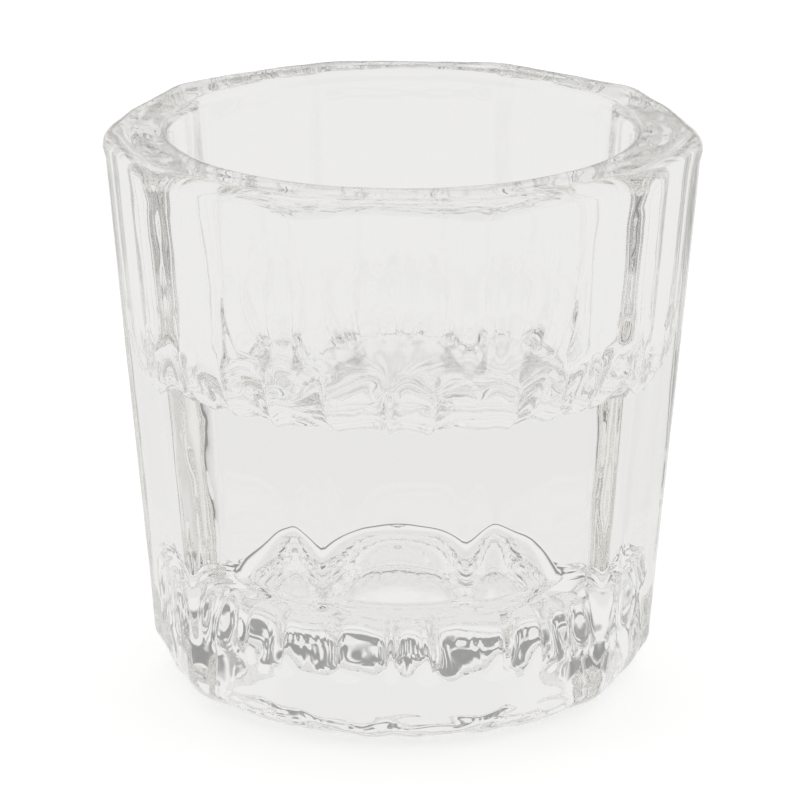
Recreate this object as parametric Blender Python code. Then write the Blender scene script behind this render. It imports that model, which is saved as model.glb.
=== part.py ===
"""Ten-sided pressed-glass dappen dish: one piece of solid clear glass.

The outside is a ten-sided block that widens towards the rim and rounds in at the heel.
A deep round well opens at the top, and a shallow domed well opens underneath.
Everything is in metres, +Z is up, and the dish stands on its foot ring at z = 0.
One flat side faces -Y.
"""

import bpy
import bmesh
import math

# Overall block
HEIGHT = 0.0360
SIDES = 10
RIM_CORNER_RADIUS = 0.0191      # axis to the sharp corner of the ten-sided outline, at the rim
FOOT_CORNER_RADIUS = 0.0160     # the same straight side lines carried down to z = 0
CORNER_ROUNDING = 0.16          # rounding of each upright corner, as a share of the corner radius

# Rim: the flat land is nearly round, and its outer edge runs down into the ten sides
RIM_LAND_RADIUS = 0.0178
RIM_LAND_SIDEDNESS = 0.55       # 0 is a circle, 1 is the full ten-sided outline
RIM_EDGE_DROP = 0.0014          # how far the rounded edge runs down at a corner
RIM_INNER_EDGE = 0.0007

# Heel: the sides turn in below the shoulder and the outline becomes round at the foot ring
HEEL_HEIGHT = 0.0026
FOOT_RADIUS = 0.0132
HEEL_FULLNESS = 0.80
HEEL_ROUND_BELOW = 0.75         # share of the heel's height under which the corners fade out

# Upper well
WELL_RIM_RADIUS = 0.0145
WELL_WALL_RADIUS = 0.0136
WELL_FLOOR_HEIGHT = 0.0199
WELL_CORNER = 0.0040

# Lower well: short wall, tall rounded corner, narrow ledge, then a domed ceiling
UNDER_MOUTH_RADIUS = 0.0119
UNDER_WALL_RADIUS = 0.0112
UNDER_WALL_HEIGHT = 0.0076
UNDER_CORNER_WIDTH = 0.0026
UNDER_CORNER_HEIGHT = 0.0041
UNDER_LEDGE_RISE = 0.00015
UNDER_DOME_RADIUS = 0.0070
UNDER_DOME_RISE = 0.0042
UNDER_DOME_FULLNESS = 2.5
UNDER_EDGE = 0.0003

# Points along one side of the outline, from one corner direction to the next
POINTS_PER_CORNER = 5
POINTS_PER_FLAT = 4


def clear_scene():
    for item in list(bpy.data.objects):
        bpy.data.objects.remove(item, do_unlink=True)


def corner_arc_half_angle():
    """Angle about the axis from a corner direction to where its rounding meets the flat side."""
    half_side = math.pi / SIDES
    arc_centre = (math.cos(half_side) - CORNER_ROUNDING) / math.cos(half_side)
    across = CORNER_ROUNDING * math.sin(half_side)
    along = arc_centre + CORNER_ROUNDING * math.cos(half_side)
    return math.atan2(across, along)


def outline_angles():
    """Directions of the outline points. They crowd at the rounded corners."""
    side = 2 * math.pi / SIDES
    arc = corner_arc_half_angle()
    angles = []
    for corner in range(SIDES):
        corner_direction = corner * side
        for step in range(POINTS_PER_CORNER):
            angles.append(corner_direction - arc + 2 * arc * step / (POINTS_PER_CORNER - 1))
        for step in range(1, POINTS_PER_FLAT + 1):
            gap = side - 2 * arc
            angles.append(corner_direction + arc + gap * step / (POINTS_PER_FLAT + 1))
    return angles


def ten_sided_reach(angle):
    """Axis-to-outline distance of a ten-sided outline whose sharp corner radius is 1."""
    half_side = math.pi / SIDES
    from_corner = abs((angle + half_side) % (2 * half_side) - half_side)
    if from_corner < corner_arc_half_angle():
        arc_centre = (math.cos(half_side) - CORNER_ROUNDING) / math.cos(half_side)
        sideways = arc_centre * math.sin(from_corner)
        return arc_centre * math.cos(from_corner) + math.sqrt(CORNER_ROUNDING**2 - sideways**2)
    return math.cos(half_side) / math.cos(half_side - from_corner)


def side_corner_radius(height):
    return FOOT_CORNER_RADIUS + (RIM_CORNER_RADIUS - FOOT_CORNER_RADIUS) * height / HEIGHT


def quarter_turn(steps):
    """(sine, 1 - cosine) pairs along a quarter circle, without its starting point."""
    return [(math.sin(step / steps * math.pi / 2), 1 - math.cos(step / steps * math.pi / 2))
            for step in range(1, steps + 1)]


def ring(points, height):
    return [(x, y, height) for x, y in points]


def round_ring(angles, radius, height):
    return ring([(radius * math.cos(a), radius * math.sin(a)) for a in angles], height)


def blended_reach(angle, corner_radius, sidedness):
    """Axis-to-outline distance between a circle (sidedness 0) and the ten-sided outline (1)."""
    return corner_radius * (sidedness * ten_sided_reach(angle) + 1 - sidedness)


def sided_ring(angles, corner_radius, height, sidedness=1.0):
    reach = [blended_reach(a, corner_radius, sidedness) for a in angles]
    return ring([(r * math.cos(a), r * math.sin(a)) for r, a in zip(reach, angles)], height)


def upper_well_rings(angles):
    """From the middle of the floor, round the bottom corner and up to the rim."""
    floor_edge = WELL_WALL_RADIUS - WELL_CORNER
    rings = [round_ring(angles, floor_edge * 0.5, WELL_FLOOR_HEIGHT)]
    rings.append(round_ring(angles, floor_edge, WELL_FLOOR_HEIGHT))
    for outward, upward in quarter_turn(6):
        radius = floor_edge + WELL_CORNER * outward
        rings.append(round_ring(angles, radius, WELL_FLOOR_HEIGHT + WELL_CORNER * upward))
    rings.append(round_ring(angles, WELL_RIM_RADIUS, HEIGHT - RIM_INNER_EDGE))
    for upward, outward in quarter_turn(3):
        radius = WELL_RIM_RADIUS + RIM_INNER_EDGE * outward
        rings.append(round_ring(angles, radius, HEIGHT - RIM_INNER_EDGE + RIM_INNER_EDGE * upward))
    return rings


def rim_edge_rings(angles):
    """From the flat land outwards and down. The edge drops most where the corners stand out."""
    land = [blended_reach(a, RIM_LAND_RADIUS, RIM_LAND_SIDEDNESS) for a in angles]
    side = [blended_reach(a, side_corner_radius(HEIGHT), 1.0) for a in angles]
    overhang = [outer - inner for outer, inner in zip(side, land)]
    rings = []
    for outward, downward in [(0.0, 0.0), *quarter_turn(5)]:
        points = []
        for angle, inner, width in zip(angles, land, overhang):
            reach = inner + width * outward
            drop = RIM_EDGE_DROP * width / max(overhang) * downward
            points.append((reach * math.cos(angle), reach * math.sin(angle), HEIGHT - drop))
        rings.append(points)
    return rings


def heel_rings(angles):
    """From the shoulder down to the foot ring, blending from ten-sided to round."""
    rings = []
    for share in (1.0, 0.84, 0.68, 0.52, 0.38, 0.26, 0.16, 0.08, 0.0):
        turn_in = (1 - (1 - share) ** 2) ** HEEL_FULLNESS
        corner_radius = FOOT_RADIUS + (side_corner_radius(HEEL_HEIGHT) - FOOT_RADIUS) * turn_in
        sidedness = min(1.0, share / HEEL_ROUND_BELOW)
        rings.append(sided_ring(angles, corner_radius, HEEL_HEIGHT * share, sidedness))
    return rings


def lower_well_rings(angles):
    """From the inner edge of the foot ring, up the short wall and over the domed ceiling."""
    rings = [round_ring(angles, UNDER_MOUTH_RADIUS + UNDER_EDGE, 0.0)]
    for inward, upward in quarter_turn(2):
        radius = UNDER_MOUTH_RADIUS + UNDER_EDGE * (1 - inward)
        rings.append(round_ring(angles, radius, UNDER_EDGE * upward))
    corner_start = UNDER_WALL_HEIGHT - UNDER_CORNER_HEIGHT
    rings.append(round_ring(angles, UNDER_WALL_RADIUS, corner_start))
    for upward, inward in quarter_turn(6):
        radius = UNDER_WALL_RADIUS - UNDER_CORNER_WIDTH * inward
        rings.append(round_ring(angles, radius, corner_start + UNDER_CORNER_HEIGHT * upward))
    dome_foot = UNDER_WALL_HEIGHT + UNDER_LEDGE_RISE
    for share in (1.0, 0.88, 0.74, 0.58, 0.4, 0.2):
        rise = UNDER_DOME_RISE * (1 - share**UNDER_DOME_FULLNESS)
        rings.append(round_ring(angles, UNDER_DOME_RADIUS * share, dome_foot + rise))
    return rings


def skin_rings(mesh_builder, rings, first_centre, last_centre):
    """Join each ring to the next with quads and close both ends on a centre point."""
    loops = [[mesh_builder.verts.new(point) for point in points] for points in rings]
    count = len(loops[0])
    for inner, outer in zip(loops, loops[1:]):
        for i in range(count):
            j = (i + 1) % count
            mesh_builder.faces.new((inner[i], inner[j], outer[j], outer[i]))
    for centre, loop in ((first_centre, loops[0]), (last_centre, loops[-1])):
        hub = mesh_builder.verts.new(centre)
        for i in range(count):
            mesh_builder.faces.new((hub, loop[i], loop[(i + 1) % count]))
    bmesh.ops.recalc_face_normals(mesh_builder, faces=mesh_builder.faces)


def glass_material():
    material = bpy.data.materials.new("clear_glass")
    material.use_nodes = True
    surface = material.node_tree.nodes["Principled BSDF"]
    surface.inputs["Base Color"].default_value = (0.93, 0.95, 0.94, 1.0)
    surface.inputs["Roughness"].default_value = 0.03
    surface.inputs["IOR"].default_value = 1.52
    surface.inputs["Transmission Weight"].default_value = 1.0
    return material


def build_dish():
    angles = outline_angles()
    rings = upper_well_rings(angles) + rim_edge_rings(angles)
    rings += heel_rings(angles) + lower_well_rings(angles)
    mesh_builder = bmesh.new()
    well_centre = (0.0, 0.0, WELL_FLOOR_HEIGHT)
    dome_top = (0.0, 0.0, UNDER_WALL_HEIGHT + UNDER_LEDGE_RISE + UNDER_DOME_RISE)
    skin_rings(mesh_builder, rings, well_centre, dome_top)
    mesh = bpy.data.meshes.new("dappen_dish")
    mesh_builder.to_mesh(mesh)
    mesh_builder.free()
    mesh.materials.append(glass_material())
    mesh.shade_smooth()
    mesh.set_sharp_from_angle(angle=math.radians(32))
    dish = bpy.data.objects.new("dappen_dish", mesh)
    bpy.context.collection.objects.link(dish)
    return dish


clear_scene()
build_dish()
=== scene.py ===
"""Looks for a ten-sided pressed-glass dappen dish, standing on a pale studio floor.

The dish is one piece of clear glass, so one finely meshed piece stands for the CAD node.
It keeps the CAD dimensions and adds what pressing leaves in real glass: swellings where the
plungers chilled the corners of the wells, streaks up the walls, and an uneven rim and foot.
The dish is worked out in millimetres and turned into metres when its mesh is made.
The studio and the camera are in metres.
"""

import math

import bpy
import numpy as np
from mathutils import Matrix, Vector, noise


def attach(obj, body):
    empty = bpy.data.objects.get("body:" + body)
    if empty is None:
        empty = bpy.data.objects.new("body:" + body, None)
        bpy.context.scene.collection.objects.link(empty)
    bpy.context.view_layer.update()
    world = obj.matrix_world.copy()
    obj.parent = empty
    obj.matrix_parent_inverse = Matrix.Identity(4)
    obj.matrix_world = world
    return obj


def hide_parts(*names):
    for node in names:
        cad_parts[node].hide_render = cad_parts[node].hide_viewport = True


MM = 0.001

# Ten-sided block. The corner radii reach from the axis to the sharp corners, before rounding.
HEIGHT = 36.0
SIDES = 10
RIM_CORNER_RADIUS = 19.1
FOOT_CORNER_RADIUS = 16.0
CORNER_ROUNDING = 0.16

# Rim: a nearly round flat land, whose rounded outer edge runs down into the ten sides
RIM_LAND_RADIUS = 17.8
RIM_LAND_SIDEDNESS = 0.55
RIM_TURN_DEPTH = 1.4
RIM_INNER_EDGE = 0.7

# Heel: the sides turn in, and the outline becomes round at the foot ring
HEEL_HEIGHT = 2.6
FOOT_RADIUS = 13.2
HEEL_FULLNESS = 0.8
HEEL_ROUND_BELOW = 0.75
HEEL_CROWDING = 1.6

# Upper well
WELL_RIM_RADIUS = 14.5
WELL_WALL_RADIUS = 13.6
WELL_FLOOR_HEIGHT = 19.9
WELL_CORNER = 4.0

# Lower well: short wall, tall rounded corner, narrow ledge and domed ceiling
UNDER_MOUTH_RADIUS = 11.9
UNDER_WALL_RADIUS = 11.2
UNDER_WALL_HEIGHT = 7.6
UNDER_CORNER_WIDTH = 2.6
UNDER_CORNER_HEIGHT = 4.1
UNDER_LEDGE_RISE = 0.15
UNDER_DOME_RADIUS = 7.0
UNDER_DOME_RISE = 4.2
UNDER_DOME_FULLNESS = 2.5
UNDER_EDGE = 0.3

# Glass, with sizes in millimetres. The haze covers what lies above its level in the noise.
GLASS_IOR = 1.52
HAZE_PATCH_SIZE = 4.0
HAZE_LEVEL = (0.4, 0.8)
HAZE_ROUGHNESS = (0.0, 0.012)
FROST_ROUGHNESS = 0.12
FROST_BLUR = (0.1, 0.2, 0.4, 0.2, 0.1)
RIPPLE_SIZE = 1.6
RIPPLE_DEPTH = 0.004
BODY_TINT = (0.93, 0.925, 0.905, 1.0)
BODY_DENSITY = 14.0

# Floor: how it looks to the camera, and how brightly it lights the glass
FLOOR_ALBEDO = 0.75
FLOOR_GLOW_TO_CAMERA = 0.58
FLOOR_GLOW_TO_GLASS = 0.85
FLOOR_HALF_WIDTH = 6.0
FLOOR_DROP = 0.0001

# Surroundings, by the direction looked in. Each pair is where a change starts and ends,
# along the upward part of the direction (ceiling, gap) or its +Y part (behind, camera side).
SURROUND_LEVEL = 0.88
SURROUND_TINT = (1.0, 0.995, 0.985, 1.0)
CEILING_FROM = (0.55, 0.70)
CEILING_LEVEL = 0.80
GAP_BOTTOM = (0.02, 0.08)
GAP_TOP = (0.18, 0.30)
GAP_BEHIND = (0.30, 0.60)
GAP_DEPTH = 0.6
CAMERA_SIDE = (-0.7, -0.1)
CAMERA_SIDE_LEVEL = 0.3

# Softbox above the camera
SOFTBOX_PLACE = (0.05, -0.60, 0.85)
SOFTBOX_TARGET = (0.0, 0.0, 0.02)
SOFTBOX_SIZE = (0.50, 0.35)
SOFTBOX_POWER = 0.3

# Camera: a long lens looking slightly down
CAMERA_DISTANCE = 0.3056
CAMERA_ELEVATION = math.radians(17.78)
CAMERA_TURN = math.radians(1.8)
CAMERA_AIM_HEIGHT = 0.01719
CAMERA_LENS = 214.4
CAMERA_SHIFT = (-0.0026, 0.0127)

# Mesh fineness: points round each row, and rows in each zone along the skin
POINTS_AROUND = 400
ROWS = {
    "well_floor": 14,
    "well_corner": 30,
    "well_wall": 40,
    "rim_inner_edge": 7,
    "rim_land": 6,
    "rim_edge": 15,
    "side": 45,
    "heel": 18,
    "foot_edge": 5,
    "under_wall": 12,
    "under_corner": 26,
    "dome": 24,
}
INNERMOST = 0.04


def ten_sided_reach(angles):
    """Axis-to-outline distance, for a ten-sided outline with sharp corner radius 1."""
    half_side = math.pi / SIDES
    from_corner = np.abs((angles + half_side) % (2 * half_side) - half_side)
    arc_centre = (math.cos(half_side) - CORNER_ROUNDING) / math.cos(half_side)
    arc_end = math.atan2(CORNER_ROUNDING * math.sin(half_side),
                         arc_centre + CORNER_ROUNDING * math.cos(half_side))
    across = arc_centre * np.sin(from_corner)
    on_arc = arc_centre * np.cos(from_corner) + np.sqrt(np.maximum(CORNER_ROUNDING**2 - across**2, 0))
    on_flat = math.cos(half_side) / np.cos(half_side - from_corner)
    return np.where(from_corner < arc_end, on_arc, on_flat)


def side_corner_radius(height):
    """Axis-to-corner distance of the leaning sides at a height, before rounding."""
    return FOOT_CORNER_RADIUS + (RIM_CORNER_RADIUS - FOOT_CORNER_RADIUS) * height / HEIGHT


class Profile:
    """Rows of the skin from the middle of the upper well, over the rim, to the lower well."""

    def __init__(self):
        self.rows = []

    def add(self, radius, height, zone, sidedness=0.0, rim_turn=1.0):
        self.rows.append((radius, height, sidedness, rim_turn, zone))


def corner_steps(count):
    """Steps round a quarter circle of radius 1, first along the one direction, then the other."""
    for step in range(1, count + 1):
        turn = step / count * math.pi / 2
        yield math.sin(turn), 1 - math.cos(turn)


def add_upper_well(profile):
    floor_edge = WELL_WALL_RADIUS - WELL_CORNER
    for share in np.linspace(INNERMOST, 1.0, ROWS["well_floor"]):
        profile.add(floor_edge * share, WELL_FLOOR_HEIGHT, "well_floor")
    for outward, upward in corner_steps(ROWS["well_corner"]):
        height = WELL_FLOOR_HEIGHT + WELL_CORNER * upward
        profile.add(floor_edge + WELL_CORNER * outward, height, "well_corner")
    low = WELL_FLOOR_HEIGHT + WELL_CORNER
    high = HEIGHT - RIM_INNER_EDGE
    for share in np.linspace(0, 1, ROWS["well_wall"] + 1)[1:]:
        radius = WELL_WALL_RADIUS + (WELL_RIM_RADIUS - WELL_WALL_RADIUS) * share
        profile.add(radius, low + (high - low) * share, "well_wall")
    for upward, outward in corner_steps(ROWS["rim_inner_edge"]):
        radius = WELL_RIM_RADIUS + RIM_INNER_EDGE * outward
        profile.add(radius, high + RIM_INNER_EDGE * upward, "rim_inner_edge")


def add_rim_land(profile):
    inner = WELL_RIM_RADIUS + RIM_INNER_EDGE
    for share in np.linspace(0, 1, ROWS["rim_land"] + 2)[1:-1]:
        radius = inner + (RIM_LAND_RADIUS - inner) * share
        profile.add(radius, HEIGHT, "rim", RIM_LAND_SIDEDNESS * share)


def add_outside(profile):
    """The rim's rounded edge starts at the nearly round land and runs down into the ten flats."""
    for step in np.linspace(0, 1, ROWS["rim_edge"]):
        outward = math.sin(step * math.pi / 2)
        profile.add(side_corner_radius(HEIGHT), HEIGHT, "rim", 1.0, rim_turn=outward)
    for height in np.linspace(HEIGHT - RIM_TURN_DEPTH, HEEL_HEIGHT, ROWS["side"] + 1)[1:]:
        profile.add(side_corner_radius(height), height, "side", 1.0)


def add_heel(profile):
    shoulder = side_corner_radius(HEEL_HEIGHT)
    for step in np.linspace(0, 1, ROWS["heel"] + 1)[1:]:
        # Rows crowd towards the foot, where the heel turns in fastest.
        share = (1 - step) ** HEEL_CROWDING
        turn_in = (1 - (1 - share) ** 2) ** HEEL_FULLNESS
        sidedness = min(1.0, share / HEEL_ROUND_BELOW)
        radius = FOOT_RADIUS + (shoulder - FOOT_RADIUS) * turn_in
        profile.add(radius, HEEL_HEIGHT * share, "heel", sidedness)


def add_lower_well(profile):
    for share in (0.3, 0.65):
        profile.add(FOOT_RADIUS + (UNDER_MOUTH_RADIUS + UNDER_EDGE - FOOT_RADIUS) * share, 0.0, "foot")
    for inward, upward in [(0.0, 0.0), *corner_steps(ROWS["foot_edge"])]:
        profile.add(UNDER_MOUTH_RADIUS + UNDER_EDGE * (1 - inward), UNDER_EDGE * upward, "foot")
    corner_start = UNDER_WALL_HEIGHT - UNDER_CORNER_HEIGHT
    for share in np.linspace(0, 1, ROWS["under_wall"] + 1)[1:]:
        radius = UNDER_MOUTH_RADIUS + (UNDER_WALL_RADIUS - UNDER_MOUTH_RADIUS) * share
        profile.add(radius, UNDER_EDGE + (corner_start - UNDER_EDGE) * share, "under_wall")
    for upward, inward in corner_steps(ROWS["under_corner"]):
        radius = UNDER_WALL_RADIUS - UNDER_CORNER_WIDTH * inward
        profile.add(radius, corner_start + UNDER_CORNER_HEIGHT * upward, "under_corner")
    ledge_edge = UNDER_WALL_RADIUS - UNDER_CORNER_WIDTH
    for share in (0.25, 0.5, 0.75):
        radius = ledge_edge + (UNDER_DOME_RADIUS - ledge_edge) * share
        profile.add(radius, UNDER_WALL_HEIGHT + UNDER_LEDGE_RISE * share, "dome")
    for share in np.linspace(1, INNERMOST, ROWS["dome"]):
        rise = UNDER_LEDGE_RISE + UNDER_DOME_RISE * (1 - share**UNDER_DOME_FULLNESS)
        profile.add(UNDER_DOME_RADIUS * share, UNDER_WALL_HEIGHT + rise, "dome")


# How far the surface strays from its true form in each zone, in millimetres. Lumps are
# rounded, streaks run up the walls, grain is fine, strokes run round the ring, and beads
# are the side-by-side swellings that a chilled plunger leaves in the corner of a well.
UNEVENNESS = {
    "well_floor": {"lumps": 0.05, "streaks": 0.0, "grain": 0.004, "strokes": 0.0, "beads": 0.02},
    "well_corner": {"lumps": 0.12, "streaks": 0.01, "grain": 0.0, "strokes": 0.0, "beads": 0.32},
    "well_wall": {"lumps": 0.016, "streaks": 0.03, "grain": 0.002, "strokes": 0.0, "beads": 0.0},
    "rim_inner_edge": {"lumps": 0.01, "streaks": 0.0, "grain": 0.0, "strokes": 0.01, "beads": 0.0},
    "rim": {"lumps": 0.025, "streaks": 0.0, "grain": 0.010, "strokes": 0.07, "beads": 0.0},
    "side": {"lumps": 0.015, "streaks": 0.06, "grain": 0.0, "strokes": 0.0, "beads": 0.0},
    "heel": {"lumps": 0.20, "streaks": 0.01, "grain": 0.05, "strokes": 0.03, "beads": 0.0},
    "foot": {"lumps": 0.20, "streaks": 0.0, "grain": 0.06, "strokes": 0.05, "beads": 0.0},
    "under_wall": {"lumps": 0.08, "streaks": 0.10, "grain": 0.006, "strokes": 0.0, "beads": 0.02},
    "under_corner": {"lumps": 0.22, "streaks": 0.02, "grain": 0.02, "strokes": 0.0, "beads": 0.35},
    "dome": {"lumps": 0.01, "streaks": 0.0, "grain": 0.0, "strokes": 0.0, "beads": 0.0},
}
ZONE_BLUR_ROWS = 9
LUMP_SIZE = 2.1
GRAIN_SIZE = 1.1
STREAK_WIDTH = 2.6
STREAK_LENGTH = 22.0
STROKE_WIDTH = 0.7
STROKES_AROUND = 4.0

# Beads: how many in a ring, how far their places and heights vary, and where the rings lie
BEADS_AROUND = 24
BEAD_WANDER = 0.6
BEAD_WANDER_STEP = 0.35
BEAD_VARIATION = 0.8
BEAD_VARIATION_SIZE = (6.0, 9.0)
UPPER_BEADS_HEIGHT = 21.6
UPPER_BEADS_REACH = 3.4
LOWER_BEADS_HEIGHT = 5.6
LOWER_BEADS_REACH = 3.0

# Where each kind of noise is read from, so that no two kinds are alike
NOISE_PLACE = {
    "lumps": 11.3,
    "grain": 47.1,
    "streaks": 83.7,
    "strokes": 31.9,
    "bead_wander": 5.9,
    "bead_variation": 23.3,
}


def field(points, width, length, kind):
    """Smooth noise between about -1 and 1 at each point, of this width across and length along Z."""
    place = NOISE_PLACE[kind]
    values = []
    for x, y, z in points.reshape(-1, 3):
        values.append(noise.noise(Vector((x / width + place, y / width - place, z / length))))
    return np.array(values).reshape(points.shape[:2])


def bead_field(points):
    """Side-by-side swellings around the ring, from -1 in the creases between them to 1 on a crown."""
    turn = np.arctan2(points[:, :, 1], points[:, :, 0])
    around = np.stack([np.cos(turn), np.sin(turn), 0 * turn], axis=2)
    wander = BEAD_WANDER * field(around, BEAD_WANDER_STEP, 1.0, "bead_wander")
    place = turn / (2 * math.pi) * BEADS_AROUND + wander
    from_crown = place - np.floor(place) - 0.5
    strength = 1.0 + BEAD_VARIATION * field(points, *BEAD_VARIATION_SIZE, "bead_variation")
    return (1 - 8 * from_crown**2) * strength


def stroke_field(points):
    """Noise drawn out along the ring, for the marks the tools leave round the rim and the foot."""
    turn = np.arctan2(points[:, :, 1], points[:, :, 0])
    reach = np.hypot(points[:, :, 0], points[:, :, 1])
    along = [STROKES_AROUND * np.cos(turn), STROKES_AROUND * np.sin(turn)]
    across = (reach + points[:, :, 2]) / STROKE_WIDTH
    return field(np.stack([*along, across], axis=2), 1.0, 1.0, "strokes")


def height_band(heights, centre, half_width):
    """1 at the centre height, falling smoothly to 0 a half width above and below it."""
    away = np.clip(np.abs(heights - centre) / half_width, 0, 1)
    return (1 - away**2) ** 2


def blur_along(row_values, weights):
    """Blur one value per row along the profile, so that zones run into each other."""
    padded = np.pad(row_values, len(weights) // 2, mode="edge")
    return np.convolve(padded, weights / np.sum(weights), mode="valid")


def zone_strength(zones, kind):
    """How strong this kind of unevenness is, as a column with one value per row."""
    raw = [UNEVENNESS[zone][kind] for zone in zones]
    return blur_along(raw, np.hanning(ZONE_BLUR_ROWS))[:, None]


def skin_points(profile, angles):
    """The true form of the skin: a grid of points with one line per profile row."""
    numbers = np.array([row[:4] for row in profile.rows])
    radius, height, sidedness, rim_turn = (column[:, None] for column in numbers.T)
    reach = ten_sided_reach(angles)[None, :]
    distance = radius * (sidedness * reach + 1 - sidedness)
    # On the rim edge the drop grows with the way left to go from the round land to the wall.
    on_edge = (sidedness == 1) & (height == HEIGHT)
    land = RIM_LAND_RADIUS * (RIM_LAND_SIDEDNESS * reach + 1 - RIM_LAND_SIDEDNESS)
    overhang = side_corner_radius(HEIGHT) * reach - land
    drop = RIM_TURN_DEPTH * overhang / overhang.max() * (1 - np.sqrt(1 - rim_turn**2))
    distance = np.where(on_edge, land + overhang * rim_turn, distance)
    level = np.where(on_edge, HEIGHT - drop, height + 0 * distance)
    return np.stack([distance * np.cos(angles), distance * np.sin(angles), level], axis=2)


def outward_normals(points):
    """Unit normals of the skin's grid, pointing out of the glass."""
    around = np.roll(points, -1, axis=1) - np.roll(points, 1, axis=1)
    along = np.gradient(points, axis=0)
    normals = np.cross(along, around)
    return normals / np.maximum(np.linalg.norm(normals, axis=2, keepdims=True), 1e-9)


def press_unevenness(points, zones):
    """How far each point is pushed outwards, in millimetres."""
    lumps = field(points, LUMP_SIZE, LUMP_SIZE, "lumps") * zone_strength(zones, "lumps")
    grain = field(points, GRAIN_SIZE, GRAIN_SIZE, "grain") * zone_strength(zones, "grain")
    streaks = field(points, STREAK_WIDTH, STREAK_LENGTH, "streaks") * zone_strength(zones, "streaks")
    beads = bead_field(points) * zone_strength(zones, "beads")
    strokes = stroke_field(points) * zone_strength(zones, "strokes")
    height = points[:, :, 2]
    upper_ring = height_band(height, UPPER_BEADS_HEIGHT, UPPER_BEADS_REACH)
    lower_ring = height_band(height, LOWER_BEADS_HEIGHT, LOWER_BEADS_REACH)
    beads *= upper_ring + lower_ring
    return lumps + grain + streaks + strokes + beads


def mark_frost(mesh, zones, count):
    """Store how frosted each point is: only the upper well's floor, where the plunger pressed hardest."""
    frost = [1.0 if zone == "well_floor" else 0.0 for zone in zones]
    frost = blur_along(frost, FROST_BLUR)
    marks = mesh.attributes.new("frost", "FLOAT", "POINT")
    marks.data.foreach_set("value", [*np.repeat(frost, count), frost[0], frost[-1]])


def dish_mesh():
    """One closed mesh: the grid of rows, with a fan of triangles in the middle of each well."""
    profile = Profile()
    add_upper_well(profile)
    add_rim_land(profile)
    add_outside(profile)
    add_heel(profile)
    add_lower_well(profile)
    angles = np.arange(POINTS_AROUND) * 2 * math.pi / POINTS_AROUND
    points = skin_points(profile, angles)
    zones = [row[4] for row in profile.rows]
    points += outward_normals(points) * press_unevenness(points, zones)[:, :, None]
    # Nothing reaches below the floor or above the rim land.
    points[:, :, 2] = np.clip(points[:, :, 2], 0.0, HEIGHT)
    rows, count = points.shape[:2]
    hubs = [points[0].mean(axis=0), points[-1].mean(axis=0)]
    vertices = np.vstack([points.reshape(-1, 3), hubs]) * MM
    index = np.arange(rows * count).reshape(rows, count)
    ahead = np.roll(index, -1, axis=1)
    quads = np.stack([index[:-1], ahead[:-1], ahead[1:], index[1:]], axis=2).reshape(-1, 4)
    first_fan = [(rows * count, int(a), int(b)) for a, b in zip(ahead[0], index[0])]
    last_fan = [(rows * count + 1, int(a), int(b)) for a, b in zip(index[-1], ahead[-1])]
    mesh = bpy.data.meshes.new("dish_glass")
    mesh.from_pydata(vertices.tolist(), [], quads[:, ::-1].tolist() + first_fan + last_fan)
    mesh.shade_smooth()
    mesh.validate()
    mark_frost(mesh, zones, count)
    return mesh


def glass_material():
    """Clear, slightly grey pressed glass with a faint haze and ripple, frosted on the well's floor."""
    material = bpy.data.materials.new("pressed_clear_glass")
    material.use_nodes = True
    nodes = material.node_tree.nodes
    links = material.node_tree.links
    surface = nodes["Principled BSDF"]
    surface.inputs["Base Color"].default_value = (1.0, 1.0, 1.0, 1.0)
    surface.inputs["IOR"].default_value = GLASS_IOR
    surface.inputs["Transmission Weight"].default_value = 1.0
    place = nodes.new("ShaderNodeTexCoord")

    haze = nodes.new("ShaderNodeTexNoise")
    haze.inputs["Scale"].default_value = 1.0 / (HAZE_PATCH_SIZE * MM)
    haze.inputs["Detail"].default_value = 3.0
    spread = nodes.new("ShaderNodeMapRange")
    spread.inputs["From Min"].default_value = HAZE_LEVEL[0]
    spread.inputs["From Max"].default_value = HAZE_LEVEL[1]
    spread.inputs["To Min"].default_value = HAZE_ROUGHNESS[0]
    spread.inputs["To Max"].default_value = HAZE_ROUGHNESS[1]
    links.new(place.outputs["Object"], haze.inputs["Vector"])
    links.new(haze.outputs["Fac"], spread.inputs["Value"])
    frost = nodes.new("ShaderNodeAttribute")
    frost.attribute_name = "frost"
    roughness = nodes.new("ShaderNodeMath")
    roughness.operation = "MULTIPLY_ADD"
    roughness.inputs[1].default_value = FROST_ROUGHNESS
    links.new(frost.outputs["Fac"], roughness.inputs[0])
    links.new(spread.outputs["Result"], roughness.inputs[2])
    links.new(roughness.outputs[0], surface.inputs["Roughness"])

    ripple = nodes.new("ShaderNodeTexNoise")
    ripple.inputs["Scale"].default_value = 1.0 / (RIPPLE_SIZE * MM)
    ripple.inputs["Detail"].default_value = 1.0
    relief = nodes.new("ShaderNodeBump")
    relief.inputs["Strength"].default_value = 1.0
    relief.inputs["Distance"].default_value = RIPPLE_DEPTH * MM
    links.new(place.outputs["Object"], ripple.inputs["Vector"])
    links.new(ripple.outputs["Fac"], relief.inputs["Height"])
    links.new(relief.outputs["Normal"], surface.inputs["Normal"])

    body = nodes.new("ShaderNodeVolumeAbsorption")
    body.inputs["Color"].default_value = BODY_TINT
    body.inputs["Density"].default_value = BODY_DENSITY
    links.new(body.outputs["Volume"], nodes["Material Output"].inputs["Volume"])
    return material


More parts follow.
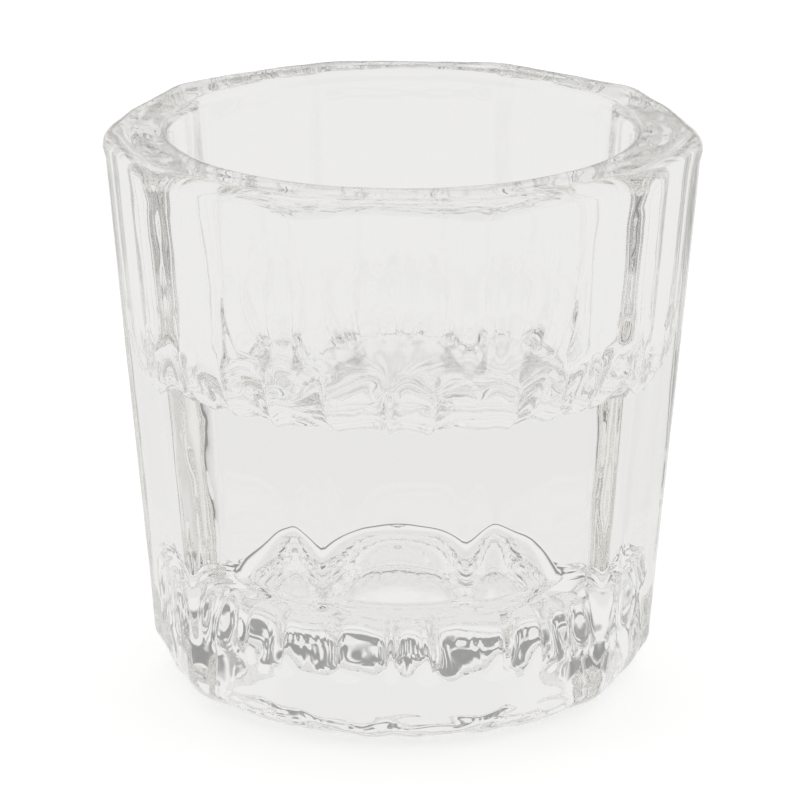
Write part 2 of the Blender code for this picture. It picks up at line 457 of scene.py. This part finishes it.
def floor_material():
    """Pale acrylic over a light table: white to the camera, a shade dimmer to light in the glass."""
    material = bpy.data.materials.new("pale_floor")
    material.use_nodes = True
    nodes = material.node_tree.nodes
    links = material.node_tree.links
    surface = nodes["Principled BSDF"]
    surface.inputs["Base Color"].default_value = (FLOOR_ALBEDO, FLOOR_ALBEDO, FLOOR_ALBEDO, 1.0)
    surface.inputs["Roughness"].default_value = 0.8
    surface.inputs["Specular IOR Level"].default_value = 0.2
    surface.inputs["Emission Color"].default_value = (1.0, 1.0, 1.0, 1.0)
    surface.inputs["Emission Strength"].default_value = FLOOR_GLOW_TO_CAMERA
    lit_table = nodes.new("ShaderNodeEmission")
    lit_table.inputs["Color"].default_value = SURROUND_TINT
    lit_table.inputs["Strength"].default_value = FLOOR_GLOW_TO_GLASS
    seen = nodes.new("ShaderNodeLightPath")
    choose = nodes.new("ShaderNodeMixShader")
    links.new(seen.outputs["Is Camera Ray"], choose.inputs[0])
    links.new(lit_table.outputs[0], choose.inputs[1])
    links.new(surface.outputs[0], choose.inputs[2])
    links.new(choose.outputs[0], nodes["Material Output"].inputs["Surface"])
    return material


def add_floor():
    mesh = bpy.data.meshes.new("floor")
    half = FLOOR_HALF_WIDTH
    corners = [(-half, -half, 0), (half, -half, 0), (half, half, 0), (-half, half, 0)]
    mesh.from_pydata(corners, [], [(0, 1, 2, 3)])
    mesh.materials.append(floor_material())
    floor = bpy.data.objects.new("floor", mesh)
    floor.location.z = -FLOOR_DROP
    bpy.context.collection.objects.link(floor)


def add_softbox():
    light = bpy.data.lights.new("key_softbox", "AREA")
    light.shape = "RECTANGLE"
    light.size, light.size_y = SOFTBOX_SIZE
    light.energy = SOFTBOX_POWER
    lamp = bpy.data.objects.new("key_softbox", light)
    lamp.location = SOFTBOX_PLACE
    lamp.rotation_mode = "QUATERNION"
    aim = Vector(SOFTBOX_TARGET) - Vector(SOFTBOX_PLACE)
    lamp.rotation_quaternion = aim.to_track_quat("-Z", "Y")
    bpy.context.collection.objects.link(lamp)


def smooth_step(tree, source, span, low, high):
    """A node that goes smoothly from low to high while the source crosses the span."""
    step = tree.nodes.new("ShaderNodeMapRange")
    step.interpolation_type = "SMOOTHSTEP"
    step.inputs["From Min"].default_value = span[0]
    step.inputs["From Max"].default_value = span[1]
    step.inputs["To Min"].default_value = low
    step.inputs["To Max"].default_value = high
    tree.links.new(source, step.inputs["Value"])
    return step.outputs["Result"]


def combine(tree, operation, first, second):
    """A node that multiplies or subtracts two values."""
    node = tree.nodes.new("ShaderNodeMath")
    node.operation = operation
    tree.links.new(first, node.inputs[0])
    tree.links.new(second, node.inputs[1])
    return node.outputs[0]


def add_surroundings():
    """White screens all round and overhead, with a dim low gap behind and a dim camera side."""
    world = bpy.data.worlds.new("studio")
    bpy.context.scene.world = world
    world.use_nodes = True
    tree = world.node_tree
    direction = tree.nodes.new("ShaderNodeTexCoord")
    split = tree.nodes.new("ShaderNodeSeparateXYZ")
    tree.links.new(direction.outputs["Generated"], split.inputs[0])
    upward = split.outputs["Z"]
    backward = split.outputs["Y"]

    above_bottom = smooth_step(tree, upward, GAP_BOTTOM, 0.0, 1.0)
    below_top = smooth_step(tree, upward, GAP_TOP, 1.0, 0.0)
    behind = smooth_step(tree, backward, GAP_BEHIND, 0.0, GAP_DEPTH)
    gap = combine(tree, "MULTIPLY", combine(tree, "MULTIPLY", above_bottom, below_top), behind)
    ceiling = smooth_step(tree, upward, CEILING_FROM, SURROUND_LEVEL, CEILING_LEVEL)
    screens = combine(tree, "SUBTRACT", ceiling, gap)
    camera_side = smooth_step(tree, backward, CAMERA_SIDE, CAMERA_SIDE_LEVEL, 1.0)
    strength = combine(tree, "MULTIPLY", screens, camera_side)
    background = tree.nodes["Background"]
    background.inputs["Color"].default_value = SURROUND_TINT
    tree.links.new(strength, background.inputs["Strength"])


def add_camera():
    back = Vector((
        math.sin(CAMERA_TURN) * math.cos(CAMERA_ELEVATION),
        -math.cos(CAMERA_TURN) * math.cos(CAMERA_ELEVATION),
        math.sin(CAMERA_ELEVATION),
    ))
    camera = bpy.data.cameras.new("camera")
    camera.sensor_width = 36.0
    camera.lens = CAMERA_LENS
    camera.shift_x = CAMERA_SHIFT[0]
    camera.shift_y = CAMERA_SHIFT[1]
    camera.clip_start = 0.01
    camera.clip_end = 50.0
    holder = bpy.data.objects.new("camera", camera)
    holder.location = Vector((0.0, 0.0, CAMERA_AIM_HEIGHT)) + CAMERA_DISTANCE * back
    holder.rotation_mode = "QUATERNION"
    holder.rotation_quaternion = back.to_track_quat("Z", "Y")
    bpy.context.collection.objects.link(holder)
    bpy.context.scene.camera = holder


def set_light_paths():
    scene = bpy.context.scene
    scene.view_settings.view_transform = "Standard"
    scene.cycles.max_bounces = 32
    scene.cycles.glossy_bounces = 24
    scene.cycles.transmission_bounces = 24
    scene.cycles.transparent_max_bounces = 16


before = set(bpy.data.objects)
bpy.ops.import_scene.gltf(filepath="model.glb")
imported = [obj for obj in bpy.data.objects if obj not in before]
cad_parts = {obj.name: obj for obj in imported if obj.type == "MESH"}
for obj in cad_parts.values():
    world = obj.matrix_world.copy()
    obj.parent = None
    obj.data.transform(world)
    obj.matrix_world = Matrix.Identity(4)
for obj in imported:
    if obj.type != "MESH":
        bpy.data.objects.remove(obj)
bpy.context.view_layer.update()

dish = bpy.data.objects.new("dish_glass", dish_mesh())
dish.data.materials.append(glass_material())
bpy.context.collection.objects.link(dish)
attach(dish, "root")
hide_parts("dappen_dish")

add_floor()
add_surroundings()
add_softbox()
add_camera()
set_light_paths()
